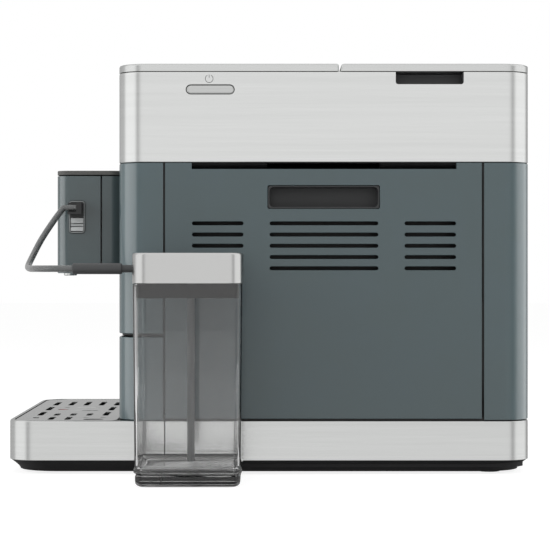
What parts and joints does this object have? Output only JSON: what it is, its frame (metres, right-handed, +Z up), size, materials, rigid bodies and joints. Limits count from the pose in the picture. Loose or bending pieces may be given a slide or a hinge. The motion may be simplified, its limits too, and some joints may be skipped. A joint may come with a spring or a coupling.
{
  "type": "bean to cup coffee machine",
  "caption": "Bean to cup coffee machine with a height adjustable spout, pull-out drip tray drawer, lift-out water tank and a milk hose to a separate clear jar.",
  "frame": {"origin": "middle of the whole object's bounding box on the floor, machine and milk jar together", "axes": "+Z up, the front with the spout and drip tray looks along -X, the service side with the milk jar looks along -Y"},
  "size_m": [0.488, 0.4187, 0.382],
  "materials": {
    "steel": "horizontally brushed steel sheet, satin",
    "body_green": "satin grey green finish",
    "black_plastic": "fine grained black moulding",
    "dark_plastic": "fine grained dark grey moulding",
    "clear_plastic": "clear grey tinted moulding",
    "display_glass": "black glossy cover pane",
    "hose_silicone": "smooth grey silicone",
    "silver_plastic": "silver lacquered moulding",
    "float_red": "red moulding",
    "foot_rubber": "soft black rubber",
    "grey_plastic": "light grey moulding",
    "port_chrome": "bright plated frame",
    "heater_aluminium": "cast aluminium",
    "board_lacquer": "green lacquered board",
    "burr_ceramic": "off-white ceramic",
    "pump_brass": "machined brass"
  },
  "bodies": {
    "machine": {"base_frame": "black_plastic", "base_band_rear": "steel", "foot_front_near": "foot_rubber", "foot_front_far": "foot_rubber", "foot_rear_near": "foot_rubber", "foot_rear_far": "foot_rubber", "chassis": "dark_plastic", "front_cover": "body_green", "rear_cover": "body_green", "far_side_panel": "body_green", "top_frame": "black_plastic", "upper_band": "steel", "display_glass": "display_glass", "spout_track": "black_plastic", "mains_inlet": "black_plastic", "bean_hopper": "clear_plastic", "ground_coffee_chute": "dark_plastic", "grinder_housing": "dark_plastic", "ring_burr": "burr_ceramic", "grinder_motor": "grey_plastic", "water_pump": "pump_brass", "thermoblock": "heater_aluminium", "control_board": "board_lacquer", "brew_group_frame": "dark_plastic", "brew_chamber": "grey_plastic", "hopper_lid_hinge": "dark_plastic", "milk_hose": "hose_silicone", "hose_sleeve": "dark_plastic"},
    "tray_drawer": {"tray_basin": "black_plastic", "base_band_front": "steel", "plinth_front": "black_plastic", "lower_front_cover": "body_green", "grounds_container": "dark_plastic"},
    "grille": {"drip_grille": "steel"},
    "float": {"tray_float": "float_red"},
    "spout": {"spout_carrier": "body_green", "spout_cover": "body_green", "spout_cap": "dark_plastic", "nozzle_near": "steel", "nozzle_far": "steel", "milk_port_frame": "port_chrome", "milk_port_slide": "grey_plastic", "milk_plug": "black_plastic"},
    "button": {"power_button": "steel"},
    "bean_lid": {"hopper_lid": "steel"},
    "tank": {"water_tank": "clear_plastic", "tank_outlet_valve": "dark_plastic", "tank_lid_hinge": "dark_plastic"},
    "water_lid": {"tank_lid": "steel"},
    "side_panel": {"service_panel": "body_green", "panel_grip": "dark_plastic"},
    "jar": {"milk_jar": "clear_plastic"},
    "jar_top": {"milk_lid": "silver_plastic", "jar_collar": "dark_plastic", "suction_tube": "grey_plastic"},
    "inner_burr": {"burr_cone": "burr_ceramic"},
    "spindle": {"brew_spindle": "steel"},
    "piston": {"brew_piston": "black_plastic"}
  },
  "joints": [
    {"name": "tray_slide", "type": "slide", "parent": "machine", "child": "tray_drawer", "axis": [-1, 0, 0], "range_m": [0, 0.17]},
    {"name": "grille_lift", "type": "slide", "parent": "tray_drawer", "child": "grille", "axis": [0, 0, 1], "range_m": [0, 0.06]},
    {"name": "float_rise", "type": "slide", "parent": "tray_drawer", "child": "float", "axis": [0, 0, 1], "range_m": [0, 0.008]},
    {"name": "spout_height", "type": "slide", "parent": "machine", "child": "spout", "axis": [0, 0, -1], "range_m": [0, 0.05]},
    {"name": "power_press", "type": "slide", "parent": "machine", "child": "button", "axis": [0, 1, 0], "range_m": [0, 0.0015], "stiffness_N_per_m": 300},
    {"name": "hopper_lid_hinge_turn", "type": "hinge", "parent": "machine", "child": "bean_lid", "pos_m": [-0.038, 0.2058, 0.3783], "axis": [-1, 0, 0], "range_deg": [0, 80]},
    {"name": "tank_lift", "type": "slide", "parent": "machine", "child": "tank", "axis": [0, 0, 1], "range_m": [0, 0.25]},
    {"name": "tank_lid_turn", "type": "hinge", "parent": "tank", "child": "water_lid", "pos_m": [0.1551, 0.2058, 0.3783], "axis": [-1, 0, 0], "range_deg": [0, 80]},
    {"name": "service_panel_tip", "type": "hinge", "parent": "machine", "child": "side_panel", "pos_m": [0.05, -0.09475, 0.0517], "axis": [1, 0, 0], "range_deg": [0, 5]},
    {"name": "jar_away", "type": "slide", "parent": "machine", "child": "jar", "axis": [0, -1, 0], "range_m": [0, 0.12]},
    {"name": "jar_lid_lift", "type": "slide", "parent": "jar", "child": "jar_top", "axis": [0, 0, 1], "range_m": [0, 0.2]},
    {"name": "burr_spin", "type": "hinge", "parent": "machine", "child": "inner_burr", "pos_m": [-0.038, 0.0565, 0.2369], "axis": [0, 0, 1], "continuous": true},
    {"name": "spindle_turn", "type": "hinge", "parent": "machine", "child": "spindle", "pos_m": [0.138, -0.0055, 0.0623], "axis": [0, 0, 1], "range_deg": [0, 720]},
    {"name": "piston_lift", "type": "slide", "parent": "machine", "child": "piston", "axis": [0, 0, 1], "range_m": [0, 0.03]}
  ],
  "couplings": [
    {"joint": "spindle_turn", "follows": "piston_lift", "rad_per_m": 418.88}
  ]
}
